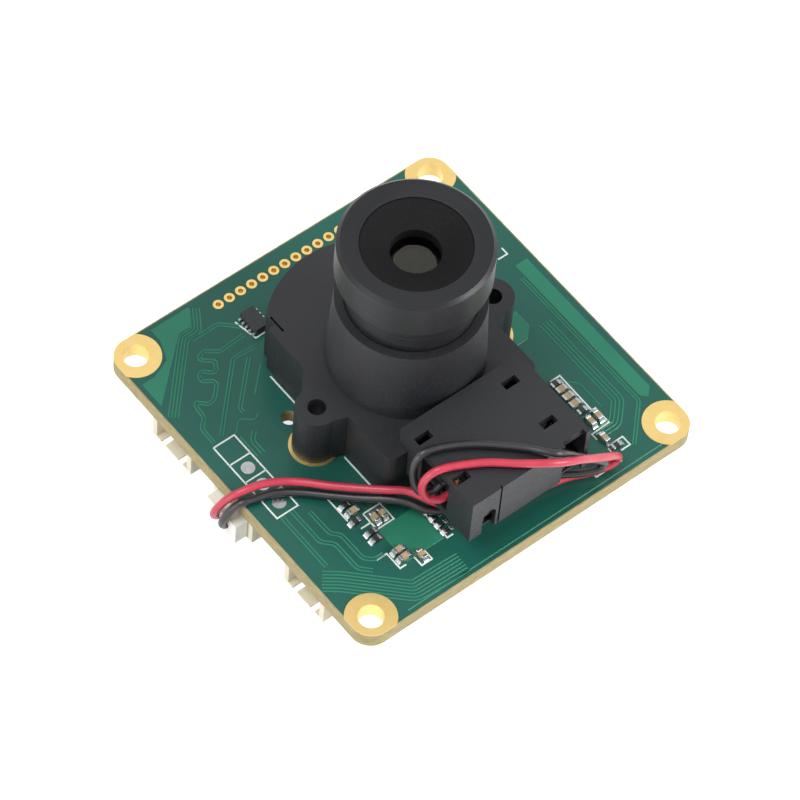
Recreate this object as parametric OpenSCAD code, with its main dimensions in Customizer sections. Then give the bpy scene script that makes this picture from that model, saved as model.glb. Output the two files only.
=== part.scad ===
// Board camera: a square circuit board with an M12 lens, a motor-driven
// infrared filter changer and its two-wire lead. Millimetres, +Z is the
// viewing direction, and the origin is the middle of the four corner holes
// on the board's upper face.

/* [Board] */
// Width and length of the square board
board_w = 38; // [36:0.5:44]
// Thickness of the board
board_t = 1.6; // [1:0.1:2]
// Rounding of the board's corners
board_r = 2; // [1:0.25:2]
// Distance from the board's edge to a corner hole's axis
hole_margin = 2; // [2:0.1:3]
// Radius of the corner holes
hole_r = 1.2; // [1:0.05:1.5]
// Radius of the gold pad round a corner hole
corner_pad_r = 2.38; // [1.8:0.01:2.8]
// Thickness of the copper pads above the board
pad_t = 0.05; // [0.04:0.01:0.1]

/* [Header row] */
// Number of header holes
header_count = 13; // [3:1:15]
// Distance between two header holes
header_pitch = 1.27; // [1.27:0.01:1.5]
// Distance from the board's edge to the header row
header_margin = 1.94; // [1.5:0.05:2.4]
// Radius of a header hole
header_hole_r = 0.24; // [0.2:0.02:0.35]
// Radius of the pad round a header hole
header_pad_r = 0.5; // [0.45:0.01:0.58]

/* [Lens holder] */
// Width of the holder's block
holder_w = 16.8; // [16.2:0.1:18]
// Reach of the block towards the drive box
holder_front = 8.4; // [8.2:0.1:9]
// Reach of the block towards the header row
holder_back = 8.3; // [8:0.1:9]
// Height of the block's top face above the board
holder_h = 6.1; // [5.8:0.1:6.8]
// Wall of the block
holder_wall = 0.8; // [0.6:0.05:1]
// Rounding of the block's upright corners
holder_r = 0.8; // [0.4:0.1:1.2]
// Radius of the rounded lobe that the filters slide into
lobe_r = 9.75; // [9.5:0.05:10.5]
// Width of the lobe
lobe_w = 15.2; // [14:0.1:16]
// Distance between the two ear holes
ear_pitch = 20; // [20:0.5:22]
// Radius of an ear boss
ear_r = 2; // [1.8:0.1:2.2]
// Radius of an ear hole
ear_hole_r = 0.85; // [0.7:0.05:1]
// Outer radius at the foot of the lens tube
tube_foot_r = 7.25; // [7:0.05:7.6]
// Outer radius at the rim of the lens tube
tube_rim_r = 6.8; // [6.6:0.05:7]
// Height of the lens tube's rim
tube_top = 14.8; // [13:0.2:17]

/* [Lens] */
// Radius of the M12 thread
thread_r = 6; // [5.9:0.05:6.1]
// Running clearance at the thread
thread_gap = 0.05; // [0.02:0.01:0.09]
// Radius of the lens head
head_r = 7; // [6.8:0.1:8]
// Height of the lens head
head_h = 4.3; // [4:0.1:5]
// Height of the lens's front face above the board
lens_front = 22.8; // [21:0.2:26]
// Radius of the front opening
front_r = 5; // [4.8:0.05:5.4]
// Radius of the well over the front element
well_r = 2.3; // [1.8:0.1:3]
// Radius of the bore that the glass elements stack in
stack_r = 4.6; // [4.2:0.1:4.7]

/* [Filter changer] */
// Width of the filter slider
slider_w = 8.4; // [8.2:0.1:8.6]
// Thickness of the filter slider
slider_t = 0.8; // [0.7:0.05:0.9]
// Distance between the two filters, which is the slider's travel
filter_pitch = 6.6; // [6.4:0.1:6.7]
// Width of a filter, across the travel
filter_w = 7.2; // [6.4:0.1:7.2]
// Length of a filter, along the travel
filter_l = 5.9; // [5:0.1:5.9]
// Thickness of a filter
filter_t = 0.4; // [0.2:0.05:0.5]
// Swing of the drive arm to each side
swing = 35; // [34:1:38]
// Radius of the drive magnet
magnet_r = 1.9; // [1.5:0.05:2]
// Radius of the drive pin and of the axle
pin_r = 0.4; // [0.3:0.05:0.45]

/* [Drive box] */
// Width of the drive cover
cover_w = 13.3; // [13:0.1:14]
// Distance from the lens axis to the cover's rear face
cover_rear = 7.3; // [7.3:0.05:7.6]
// Distance from the lens axis to the cover's front face
cover_front = 17.35; // [17.3:0.05:18]
// Height of the cover's top face above the board
cover_top = 8.5; // [8.3:0.1:9.5]
// Height of the cover's lower edge above the board
cover_bottom = 2.8; // [2.6:0.1:2.8]
// Wall of the cover
cover_wall = 0.5; // [0.4:0.05:0.6]
// Roof of the cover
cover_roof = 0.8; // [0.6:0.05:0.9]

/* [Sockets and plug] */
// Width of a socket
socket_w = 5.6; // [5.4:0.1:6.4]
// Height of a socket
socket_h = 3.2; // [3.2:0.1:3.8]
// Depth of a socket
socket_d = 4.6; // [4.4:0.1:5.5]
// Set-back of the socket mouths from the board's edge
socket_back = 0.25; // [0:0.05:1]
// Places of the three sockets along the edge
socket_places = [9.2, 0.25, -10]; // [-16:0.05:16]
// Distance between the two contacts
contact_pitch = 1.25; // [1.25:0.05:1.5]
// Width of the plug
plug_w = 4.2; // [4:0.1:4.4]
// Height of the plug
plug_h = 2.5; // [2:0.1:2.5]
// Length of the plug outside the socket
plug_out = 1.35; // [1:0.05:2]
// Diameter of a lead's insulation
lead_d = 0.75; // [0.6:0.05:0.8]

/* [Hidden] */

// Smooth, medium and small round faces
fine = 64;
round_n = 40;
small = 20;
// A cut's reach past the face it opens, and the slack of a seated piece
cut = 1;
seat = 0.05;

// Corner holes
hole_at = board_w / 2 - hole_margin;
plating = 0.05;
header_y = board_w / 2 - header_margin;

// Lobe of the holder: its middle lies a little off the lens axis
lobe_x = -0.6;
lobe_y = 3.6;
ear_web = 3.2;
ear_pad_r = ear_r + 0.3;

// Levels inside the holder
floor_z = 3.2;
slider_z = floor_z + 0.1;
rail_top = slider_z + slider_t + 0.1;
ceiling_z = rail_top + 0.1;
port_r = 4.2;
tray_t = floor_z - cover_bottom;
neck_w = slider_w + 1.8;

// Lens levels
lens_rear = 5.4;
head_z = lens_front - head_h;
bevel = 0.35;
shelf_z = lens_front - 3.9;
dish = 0.3;

// Drive levels and places
arm_r = filter_pitch / 2 / sin(swing);
arm_turn = 180 - swing;
axle_x = 3.6;
axle_y = -12.3;
slot_gap = 0.12;
frame_z = rail_top;
frame_t = 0.5;
arm_z = frame_z + frame_t + 0.1;
arm_t = 0.3;
magnet_z = arm_z + arm_t;
roof_z = cover_top - cover_roof;
cover_x = 0.1;
coil_x = -4.2;
coil_z = 6.4;
coil_r = 1.15;
coil_l = 3.8;
yoke_t = 0.8;
yoke_reach = 3.3;
pole_gap = 0.25;
yoke_z = coil_z - yoke_t / 2;
side_open_y1 = -14.1;
side_open_y2 = -10.4;
slit_x = -3.4;
terminal_x = -5.95;
terminal_z = 5.2;
terminal_places = [-13.6, -12.5];
tongue_w = 3.9;
post_x = axle_x + 1.3;

// The drawing shows the day end: the infrared filter stands on the lens axis
slider_y = filter_pitch / 2;
slider_end = filter_pitch / 2 + filter_l / 2 + 0.7;

// Sockets and plug
socket_x = -board_w / 2 + socket_back;
mouth_d = 3.4;
mouth_gap = 0.1;
socket_lip = 0.25;
plug_z = -board_t - socket_lip - mouth_gap - plug_h / 2;
plug_len = mouth_d - 0.1 + plug_out;

// Middle lines of the two leads, from the plug to the drive coil
red_route = [[-19.55, 0.875, -3.2], [-20.15, 0.875, -3.2], [-20.5, 0.8, -2.7],
    [-20.55, 0.6, -1.8], [-20.3, 0.3, -0.8], [-19.7, -0.1, 0.3], [-18.7, -0.6, 1.1],
    [-16.9, -1.2, 1.4], [-15.2, -2, 1.3], [-13.7, -3.3, 1.4], [-12.2, -5, 1.6],
    [-10.5, -6.8, 1.9], [-8.8, -8.7, 2.4], [-7.4, -10, 2.5], [-6.2, -12.1, 2.3],
    [-4.6, -14, 1.9], [-2.4, -15.2, 1.5], [0, -15.5, 1], [2.8, -15.8, 0.6],
    [5.6, -16.3, 0.5], [7.9, -17.2, 0.5], [9.6, -17.7, 0.7], [10.2, -17.9, 1.5],
    [9.7, -18.1, 2.6], [8.2, -18.4, 4.2], [6.3, -18.5, 5.8], [4.4, -18.65, 7.5],
    [2.7, -18.55, 8.55], [1.1, -17.9, 9.05], [-0.9, -16.4, 9], [-2.9, -14.8, 9],
    [-4.8, -13.7, 9], [-6.2, -13.05, 9], [-7.1, -12.7, 8.75], [-7.8, -12.4, 7.9],
    [-8.15, -12.4, 6.7], [-7.9, -12.9, 5.6], [-7, -13.5, 5.2], [terminal_x, terminal_places[0], terminal_z]];
black_route = [[-19.55, -0.375, -3.2], [-20.15, -0.375, -3.2], [-20.5, -0.45, -2.7],
    [-20.55, -0.6, -1.8], [-20.2, -0.8, -0.8], [-19.7, -1, 0], [-19.1, -1.3, 0.5],
    [-18.1, -1.6, 0.5], [-16.6, -2, 0.5], [-15.3, -2.7, 0.5], [-13.9, -3.9, 0.6],
    [-12.4, -5.5, 0.8], [-10.7, -7.3, 1.1], [-8.9, -9.2, 1.6], [-7.7, -10.6, 1.6],
    [-6.8, -12, 1.4], [-4.9, -13.1, 1.2], [-2.6, -13.9, 1.3], [0, -14.4, 1.4],
    [2.4, -15, 1.4], [4.8, -16, 1.4], [6.6, -17.1, 1.4], [8.1, -17.8, 1.6],
    [8.5, -17.9, 2.4], [7.6, -17.8, 3.5], [6.4, -17.75, 4.8], [5.1, -17.75, 6.3],
    [3.8, -17.8, 7.9], [2.9, -17.75, 8.75], [2.1, -17.3, 9.05], [0.7, -15.6, 9],
    [-1.1, -13.9, 9], [-2.8, -12.5, 9], [-4.5, -11.5, 9], [-6, -10.9, 9.05],
    [-7, -10.65, 8.8], [-7.6, -10.6, 7.8], [-7.9, -10.9, 6.4], [-7.8, -11.7, 5.1],
    [-6.9, -12.4, 4.9], [terminal_x, terminal_places[1], terminal_z]];

// ---- shared shapes ----

// Block standing on z = 0 with round upright corners, centred on the axis
module round_block(w, l, h, r) {
    translate([-w / 2 + r, -l / 2, 0]) cube([w - 2 * r, l, h]);
    translate([-w / 2, -l / 2 + r, 0]) cube([w, l - 2 * r, h]);
    for (x = [-1, 1], y = [-1, 1]) {
        translate([x * (w / 2 - r), y * (l / 2 - r), 0]) cylinder(h = h, r = r, $fn = round_n);
    }
}

// Plated ring with a barrel through the board
module plated_ring(r, hole, through) {
    difference() {
        union() {
            cylinder(h = pad_t, r = r, $fn = round_n);
            translate([0, 0, -board_t - pad_t]) cylinder(h = pad_t, r = r, $fn = round_n);
            translate([0, 0, -board_t - pad_t])
                cylinder(h = board_t + 2 * pad_t, r = hole + through, $fn = round_n);
        }
        translate([0, 0, -board_t - cut]) cylinder(h = board_t + 2 * cut, r = hole, $fn = round_n);
    }
}

// Places its children at the four corner holes
module at_corners() {
    for (x = [-1, 1], y = [-1, 1]) {
        translate([x * hole_at, y * hole_at, 0]) children();
    }
}

// Places its children at every header hole
module at_header() {
    for (i = [0 : header_count - 1]) {
        translate([(i - (header_count - 1) / 2) * header_pitch, header_y, 0]) children();
    }
}

// Places its children at the two ears
module at_ears() {
    for (x = [-1, 1]) {
        translate([x * ear_pitch / 2, 0, 0]) children();
    }
}

// Glass element: a flat rim and two domed faces, turned round the axis
function dome(r, i, n, rise) = [r * i / n, rise * (1 - pow(i / n, 2))];
module glass(r, rim, dome_r, low, high) {
    n = 6;
    under = low > 0 ? [for (i = [0 : n]) let (p = dome(dome_r, i, n, low)) [p[0], -p[1]]] : [[0, 0]];
    over = high > 0 ? [for (i = [n : -1 : 0]) [0, rim] + dome(dome_r, i, n, high)] : [[0, rim]];
    rotate_extrude($fn = fine) polygon(concat(under, [[r, 0], [r, rim]], over));
}

// Flat ring
module ring(outer, inner, h) {
    difference() {
        cylinder(h = h, r = outer, $fn = fine);
        translate([0, 0, -cut]) cylinder(h = h + 2 * cut, r = inner, $fn = fine);
    }
}

// Tube of a lead, swept along a list of points
function unit(v) = v / norm(v);
function along(p, i) = unit(p[min(i + 1, len(p) - 1)] - p[max(i - 1, 0)]);
function side(t) = unit(cross(t, abs(t[2]) > 0.9 ? [0, 1, 0] : [0, 0, 1]));
module lead(p) {
    sides = 8;
    rings = len(p);
    points = [for (i = [0 : rings - 1])
        let (t = along(p, i), a = side(t), b = cross(t, a))
        for (k = [0 : sides - 1])
            p[i] + lead_d / 2 * (cos(360 * k / sides) * a + sin(360 * k / sides) * b)];
    walls = [for (i = [0 : rings - 2], k = [0 : sides - 1])
        [i * sides + k, i * sides + (k + 1) % sides,
            (i + 1) * sides + (k + 1) % sides, (i + 1) * sides + k]];
    ends = [[for (k = [sides - 1 : -1 : 0]) k],
        [for (k = [0 : sides - 1]) (rings - 1) * sides + k]];
    polyhedron(points, concat(walls, ends), convexity = 10);
}

// ---- board ----

module circuit_board() {
    color("#2f7f63") difference() {
        translate([0, 0, -board_t]) round_block(board_w, board_w, board_t, board_r);
        at_corners() translate([0, 0, -board_t - cut])
            cylinder(h = board_t + 2 * cut, r = hole_r + plating, $fn = round_n);
        at_header() translate([0, 0, -board_t - cut])
            cylinder(h = board_t + 2 * cut, r = header_hole_r + plating, $fn = small);
        at_ears() translate([0, 0, -board_t - cut])
            cylinder(h = board_t + 2 * cut, r = ear_hole_r + 0.15, $fn = round_n);
        translate([-10, 3.6, -board_t - cut])
            cylinder(h = board_t + 2 * cut, r = 0.75, $fn = round_n);
    }
}

module corner_pads() {
    color("#e8c873") intersection() {
        at_corners() plated_ring(corner_pad_r, hole_r, plating);
        translate([0, 0, -board_t - cut])
            round_block(board_w, board_w, board_t + 2 * cut, board_r);
    }
}

module header_pads() {
    color("#e8c873") at_header() plated_ring(header_pad_r, header_hole_r, plating);
}

module ear_pads() {
    color("#e8c873") at_ears() ring(ear_pad_r, ear_hole_r + 0.15, pad_t);
}

module test_pads() {
    color("#d8dcdc") for (y = [1.55, -0.6, -2.95]) {
        translate([-16.2, y, 0]) cylinder(h = pad_t, r = 0.65, $fn = round_n);
    }
}

// ---- lens holder ----

// Outline of the holder's block and lobe, shrunk by a wall
module holder_outline(inset, h) {
    l = holder_front + holder_back;
    translate([0, (holder_back - holder_front) / 2, 0])
        round_block(holder_w - 2 * inset, l - 2 * inset, h, holder_r);
    intersection() {
        translate([lobe_x, lobe_y, 0]) cylinder(h = h, r = lobe_r - inset, $fn = fine);
        translate([-lobe_w / 2 + inset, 0, 0]) cube([lobe_w - 2 * inset, lobe_r + lobe_y, h]);
    }
}

module ear() {
    cylinder(h = holder_h, r = ear_r, $fn = round_n);
}

module ear_webs() {
    reach = ear_pitch / 2 - holder_w / 2 + holder_wall / 2;
    for (x = [-1, 1]) {
        linear_extrude(holder_h)
            polygon([[x * (ear_pitch / 2 - reach), ear_web + 1.4], [x * (ear_pitch / 2 - 0.2), ear_r],
                [x * (ear_pitch / 2 + 0.6), 0], [x * (ear_pitch / 2 - 0.2), -ear_r],
                [x * (ear_pitch / 2 - reach), -ear_web + 0.6]]);
    }
}

module lens_holder() {
    color("#26282a") difference() {
        union() {
            translate([0, 0, pad_t]) holder_outline(0, holder_h - pad_t);
            translate([0, 0, pad_t]) intersection() {
                union() {
                    at_ears() ear();
                    ear_webs();
                }
                translate([-board_w / 2, -board_w / 2, 0])
                    cube([board_w, board_w, holder_h - pad_t]);
            }
            translate([0, 0, holder_h])
                cylinder(h = tube_top - holder_h, r1 = tube_foot_r, r2 = tube_rim_r, $fn = fine);
            // snap hook beside the lobe
            translate([-holder_w / 2 + 0.1, holder_back - 0.5, pad_t]) cube([1, 1.3, holder_h - pad_t]);
        }
        translate([-lobe_w / 2 + 0.1, holder_back - 0.2, holder_h - 0.5]) cube([0.2, 1.9, cut]);
        translate([0, 0, -cut]) holder_outline(holder_wall, ceiling_z + cut);
        translate([0, 0, ceiling_z - cut]) cylinder(h = 2 * cut + 1, r = port_r, $fn = fine);
        translate([0, 0, lens_rear - 0.1])
            cylinder(h = tube_top, r = thread_r, $fn = fine);
        at_ears() translate([0, 0, -cut]) cylinder(h = holder_h + 2 * cut, r = ear_hole_r, $fn = round_n);
        translate([-neck_w / 2, -holder_front - cut, cover_bottom - seat])
            cube([neck_w, holder_wall + 2 * cut, ceiling_z - cover_bottom + seat]);
    }
}

module holder_base() {
    inset = holder_wall + 0.1;
    color("#303234") difference() {
        union() {
            holder_outline(inset, floor_z);
            translate([-neck_w / 2 + seat, -holder_front - 0.3, cover_bottom])
                cube([neck_w - 2 * seat, holder_wall + 1, tray_t]);
            translate([cover_x - cover_w / 2 + cover_wall + seat, -cover_front + cover_wall + seat,
                cover_bottom])
                cube([cover_w - 2 * cover_wall - 2 * seat,
                    cover_front - cover_wall - seat - holder_front - 0.1, tray_t - seat]);
            for (x = [-1, 1]) {
                translate([x * (slider_w / 2 + 0.4) - 0.25, -cover_front + cover_wall + 0.2, floor_z - 0.2])
                    cube([0.5, cover_front - cover_wall + 8.8, rail_top - floor_z + 0.2]);
            }
        }
        translate([-5.3, -4.9, -cut]) cube([10.6, 9.8, 1.6 + cut]);
        translate([-3.6, -3.6, 0]) cube([7.2, 7.2, floor_z + cut]);
    }
}

module holder_screws() {
    color("#b9bcc0") at_ears() {
        translate([0, 0, -board_t - 1.2]) difference() {
            cylinder(h = 1.2, r = 1.7, $fn = round_n);
            translate([0, 0, -cut]) cylinder(h = cut + 0.6, r = 0.65, $fn = 6);
        }
        translate([0, 0, -board_t]) cylinder(h = board_t + 3.5, r = ear_hole_r - seat, $fn = round_n);
    }
}

module image_sensor() {
    color("#2b2b2e") difference() {
        translate([-4.8, -4.4, 0]) cube([9.6, 8.8, 0.8]);
        translate([-4.2, -3.8, 0.3]) cube([8.4, 7.6, cut]);
    }
    color("#3a3550") translate([-2.9, -1.8, 0.3]) cube([5.8, 3.6, 0.1]);
}

module sensor_glass() {
    color("#9fb6b8") translate([-4.1, -3.7, 0.45]) cube([8.2, 7.4, 0.3]);
}

// ---- lens ----

module lens_barrel() {
    r = thread_r - thread_gap;
    color("#1d1d1f") rotate_extrude($fn = fine)
        polygon([[stack_r, lens_rear], [r - 0.3, lens_rear], [r, lens_rear + 0.3],
            [r, head_z - 0.7], [r + 0.45, head_z - 0.7], [r + 0.45, head_z],
            [head_r - bevel, head_z], [head_r, head_z + bevel],
            [head_r, lens_front - bevel], [head_r - bevel, lens_front],
            [front_r, lens_front - dish], [front_r, shelf_z], [stack_r, shelf_z]]);
}

module front_retainer() {
    color("#17171a") rotate_extrude($fn = fine)
        polygon([[well_r, shelf_z + 1.5], [front_r - seat, shelf_z + 1.5],
            [front_r - seat, lens_front - dish - 0.05], [front_r - 0.2, lens_front - dish - 0.05],
            [well_r, lens_front - 1.4]]);
}

module front_element() {
    color("#3d4a40") translate([0, 0, shelf_z]) glass(front_r - seat, 1.5, well_r - 0.1, 0, 0.25);
}

module front_spacer() {
    color("#232325") translate([0, 0, lens_rear + 9]) ring(stack_r - seat, 3.2, shelf_z - lens_rear - 9);
}

module aperture_stop() {
    color("#151515") translate([0, 0, lens_rear + 8.6]) ring(stack_r - seat, 1.4, 0.4);
}

module middle_element() {
    color("#7f9a94") translate([0, 0, lens_rear + 6.6]) glass(stack_r - seat, 2, 3.7, 0.5, 0);
}

module rear_spacer() {
    color("#232325") translate([0, 0, lens_rear + 3.8]) ring(stack_r - seat, 3.9, 2.8);
}

module rear_element() {
    color("#7f9a94") translate([0, 0, lens_rear + 1]) glass(stack_r - seat, 2.8, 3.7, 0.3, 0.6);
}

module rear_retainer() {
    color("#232325") translate([0, 0, lens_rear]) ring(stack_r - seat, 3.9, 1);
}

// ---- filter changer ----

module filter_slider() {
    tongue_end = axle_y - pin_r - 0.6;
    color("#3a3c3e") translate([0, slider_y, slider_z]) difference() {
        union() {
            linear_extrude(slider_t)
                polygon([[-slider_w / 2, -slider_end], [slider_w / 2, -slider_end],
                    [slider_w / 2, slider_end - 1], [slider_w / 2 - 1, slider_end],
                    [-slider_w / 2 + 1, slider_end], [-slider_w / 2, slider_end - 1]]);
            translate([-slider_w / 2, tongue_end, 0])
                cube([tongue_w, -slider_end - tongue_end + 1, slider_t]);
        }
        for (y = [-1, 1]) {
            translate([-filter_w / 2 + 0.3, y * filter_pitch / 2 - filter_l / 2 + 0.3, -cut])
                cube([filter_w - 0.6, filter_l - 0.6, 3 * cut]);
            translate([-filter_w / 2 - seat, y * filter_pitch / 2 - filter_l / 2 - seat,
                slider_t - filter_t])
                cube([filter_w + 2 * seat, filter_l + 2 * seat, cut]);
        }
        // fork for the drive pin
        translate([axle_x - arm_r - pin_r - 0.3, axle_y - pin_r - slot_gap, -cut])
            cube([tongue_w + 2, 2 * (pin_r + slot_gap), 3 * cut]);
    }
}

module filter_pane(y) {
    translate([-filter_w / 2, y - filter_l / 2, slider_z + slider_t - filter_t])
        cube([filter_w, filter_l, filter_t]);
}

module infrared_filter() {
    color("#7fb8b0") filter_pane(0);
}

module clear_filter() {
    color("#d5e0e2") filter_pane(filter_pitch);
}

// ---- drive box ----

module drive_cover() {
    inner_w = cover_w - 2 * cover_wall;
    left = cover_x - cover_w / 2;
    color("#2a2c2e") difference() {
        translate([left, -cover_front, cover_bottom])
            cube([cover_w, cover_front - cover_rear, cover_top - cover_bottom]);
        // room for the drive, and a way round the holder's block
        translate([left + cover_wall, -cover_front + cover_wall, cover_bottom - cut])
            cube([inner_w, cover_front - cover_rear - 2 * cover_wall, roof_z - cover_bottom + cut]);
        translate([left - cut, -holder_front - 0.1, cover_bottom - cut])
            cube([cover_w + 2 * cut, holder_front, holder_h + seat - cover_bottom + cut]);
        // side opening for the leads
        translate([left - cut, side_open_y1, cover_bottom + 0.9])
            cube([cover_wall + 1.5 * cut, side_open_y2 - side_open_y1, roof_z - cover_bottom - 0.9]);
        // front opening at the right end, up through the roof's edge
        translate([left + cover_w - cover_wall - 2.4, -cover_front - cut, cover_bottom - cut])
            cube([2.4, cover_wall + cut, cover_top - cover_bottom + 2 * cut]);
        // slit and arched window in the front face
        translate([slit_x, -cover_front - cut, cover_bottom - cut])
            cube([0.2, cover_wall / 2 + cut, cover_top - cover_bottom + 2 * cut]);
        translate([slit_x - 1.8, -cover_front - cut, cover_bottom - cut])
            cube([1.5, cover_wall + 1.5 * cut, cut + 2.3]);
        translate([slit_x - 1.05, -cover_front - cut, cover_bottom + 2.3])
            rotate([-90, 0, 0]) cylinder(h = cover_wall + 1.5 * cut, r = 0.75, $fn = round_n);
        // windows in the roof
        for (x = [-5.55, 4.25], y = [-9.25, -14.45]) {
            translate([x - 0.8, y - 0.42, roof_z - cut]) cube([1.6, 0.84, cover_roof + 2 * cut]);
        }
    }
}

module drive_frame() {
    left = cover_x - cover_w / 2 + cover_wall + seat;
    far = cover_front - cover_wall - seat;
    slot_reach = filter_pitch / 2 + pin_r + 0.15;
    color("#34363a") difference() {
        union() {
            translate([left, -far, frame_z])
                cube([cover_w - 2 * (cover_wall + seat), far - holder_front - 0.1, frame_t]);
            // posts under the yoke
            for (x = [coil_x, post_x], y = [-1, 1]) {
                translate([x - 0.4, axle_y + y * (yoke_reach - 0.45) - 0.4, frame_z])
                    cube([0.8, 0.8, yoke_z - frame_z]);
            }
        }
        // arc slot for the drive pin
        translate([axle_x, axle_y, frame_z - cut]) intersection() {
            difference() {
                cylinder(h = 3 * cut, r = arm_r + pin_r + 0.2, $fn = fine);
                translate([0, 0, -cut]) cylinder(h = 5 * cut, r = arm_r - pin_r - 0.2, $fn = fine);
            }
            translate([-arm_r - 1, -slot_reach, 0])
                cube([arm_r * (1 - cos(swing)) + 2.5, 2 * slot_reach, 3 * cut]);
        }
        translate([axle_x, axle_y, frame_z - cut])
            cylinder(h = 3 * cut, r = pin_r + 0.02, $fn = small);
    }
}

module yoke() {
    color("#8f9499") translate([0, axle_y, yoke_z]) difference() {
        union() {
            translate([coil_x - yoke_t / 2, -yoke_reach, 0]) cube([yoke_t, 2 * yoke_reach, yoke_t]);
            for (y = [-yoke_reach, yoke_reach - 0.9]) {
                translate([coil_x - yoke_t / 2, y, 0]) cube([axle_x - coil_x + 2.1, 0.9, yoke_t]);
            }
            for (y = [-yoke_reach, yoke_reach - 2]) {
                translate([axle_x - 1.6, y, 0]) cube([3.2, 2, yoke_t]);
            }
        }
        translate([axle_x, 0, -cut]) cylinder(h = 3 * cut, r = magnet_r + pole_gap, $fn = fine);
    }
}

module coil_bobbin() {
    bore = yoke_t + 2 * seat;
    flange = 2 * coil_r;
    color("#e6e2d6") difference() {
        union() {
            translate([coil_x, axle_y - coil_l / 2, coil_z]) rotate([-90, 0, 0])
                cylinder(h = coil_l, r = 0.75, $fn = round_n);
            for (y = [-coil_l / 2, coil_l / 2 - 0.3]) {
                translate([coil_x - coil_r, axle_y + y, coil_z - coil_r])
                    cube([flange, 0.3, flange]);
            }
            // side plate that carries the terminals
            translate([coil_x - coil_r - 0.35, axle_y - coil_l / 2, arm_z + 0.05])
                cube([0.4, coil_l, 0.9]);
        }
        translate([coil_x - bore / 2, axle_y - coil_l / 2 - cut, coil_z - bore / 2])
            cube([bore, coil_l + 2 * cut, bore]);
    }
}

module coil_winding() {
    color("#b5743a") translate([coil_x, axle_y - coil_l / 2 + 0.35, coil_z]) rotate([-90, 0, 0])
        ring(coil_r - 0.05, 0.75 + seat, coil_l - 0.7);
}

module coil_terminals() {
    color("#cfd3d6") for (y = terminal_places) {
        translate([terminal_x, y, terminal_z]) rotate([0, 90, 0])
            cylinder(h = coil_x - coil_r - 0.35 - terminal_x, r = 0.2, $fn = small);
    }
}

module rotor_axle() {
    color("#c8ccd0") translate([axle_x, axle_y, frame_z])
        cylinder(h = roof_z - frame_z, r = pin_r, $fn = small);
}

module rotor_magnet() {
    color("#55565a") translate([axle_x, axle_y, magnet_z])
        ring(magnet_r, pin_r + seat, roof_z - 0.2 - magnet_z);
}

module drive_arm() {
    color("#e6e2d6") translate([axle_x, axle_y, 0]) rotate([0, 0, arm_turn]) difference() {
        union() {
            translate([0, 0, arm_z]) cylinder(h = arm_t, r = 1.2, $fn = round_n);
            translate([0, -0.45, arm_z]) cube([arm_r, 0.9, arm_t]);
            translate([arm_r, 0, arm_z]) cylinder(h = arm_t, r = 0.45, $fn = small);
            translate([arm_r, 0, slider_z + 0.1])
                cylinder(h = arm_z - slider_z - 0.05, r = pin_r, $fn = small);
        }
        translate([0, 0, arm_z - cut]) cylinder(h = 3 * cut, r = pin_r + seat, $fn = small);
    }
}

// ---- sockets, plug and leads ----

module socket(y) {
    mouth_w = plug_w + 2 * mouth_gap;
    mouth_h = plug_h + 2 * mouth_gap;
    color("#e4dfcc") translate([socket_x, y, -board_t]) difference() {
        translate([0, -socket_w / 2, -socket_h]) cube([socket_d, socket_w, socket_h]);
        translate([-cut, -mouth_w / 2, -socket_lip - mouth_h]) cube([mouth_d + cut, mouth_w, mouth_h]);
        for (x = [-1, 1]) {
            translate([-cut, x * contact_pitch - 0.3, -socket_h - cut]) cube([1.4 + cut, 0.6, cut + 1]);
        }
        for (x = [-0.5, 0.5]) {
            translate([0, x * contact_pitch - 0.25, plug_z + board_t - 0.25]) cube([socket_d + cut, 0.5, 0.5]);
        }
    }
}

module upper_socket() {
    socket(socket_places[0]);
}

module middle_socket() {
    socket(socket_places[1]);
}

module lower_socket() {
    socket(socket_places[2]);
}

module socket_contacts() {
    color("#d2c08a") for (y = socket_places, x = [-0.5, 0.5]) {
        translate([socket_x + mouth_d - 1.9, y + x * contact_pitch - 0.2, plug_z - 0.2])
            cube([socket_d - mouth_d + 2.3, 0.4, 0.4]);
        translate([socket_x + socket_d + 0.05, y + x * contact_pitch - 0.2, plug_z + 0.2])
            cube([0.35, 0.4, -board_t - plug_z - 0.2]);
        translate([socket_x + socket_d + 0.35, y + x * contact_pitch - 0.2, -board_t - 0.25])
            cube([0.9, 0.4, 0.25]);
    }
}

module lead_plug() {
    y = socket_places[1];
    color("#eeeeea") difference() {
        translate([socket_x - plug_out, y - plug_w / 2, plug_z - plug_h / 2]) cube([plug_len, plug_w, plug_h]);
        for (x = [-0.5, 0.5]) {
            translate([socket_x - plug_out + 0.55, y + x * contact_pitch - 0.5, plug_z - 0.5])
                cube([plug_len, 1, 1]);
            translate([socket_x - plug_out - cut, y + x * contact_pitch, plug_z])
                rotate([0, 90, 0]) cylinder(h = 2 * cut, r = lead_d / 2 + seat, $fn = small);
        }
    }
}

module plug_terminals() {
    y = socket_places[1];
    length = plug_out + mouth_d - 2.9;
    color("#c9a861") for (x = [-0.5, 0.5]) {
        translate([socket_x - plug_out + 0.55, y + x * contact_pitch - 0.45, plug_z - 0.45])
            cube([length, 0.9, 0.9]);
    }
}

module red_lead() {
    color("#c8384e") lead(red_route);
}

module black_lead() {
    color("#202022") lead(black_route);
}

// ---- chips and small parts ----

module driver_chip() {
    color("#26272a") translate([-6.95, 12.3, 0.1]) cube([1.4, 2.4, 0.8]);
}

module driver_chip_pins() {
    color("#c9ccce") for (i = [0 : 4], x = [-7.3, -5.5]) {
        translate([x, 12.4 + i * 0.49, 0]) cube([0.3, 0.22, 0.3]);
    }
}

module image_chip() {
    color("#242528") translate([-2.5, -4.5, -board_t - 0.9]) cube([9, 9, 0.9]);
}

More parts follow.
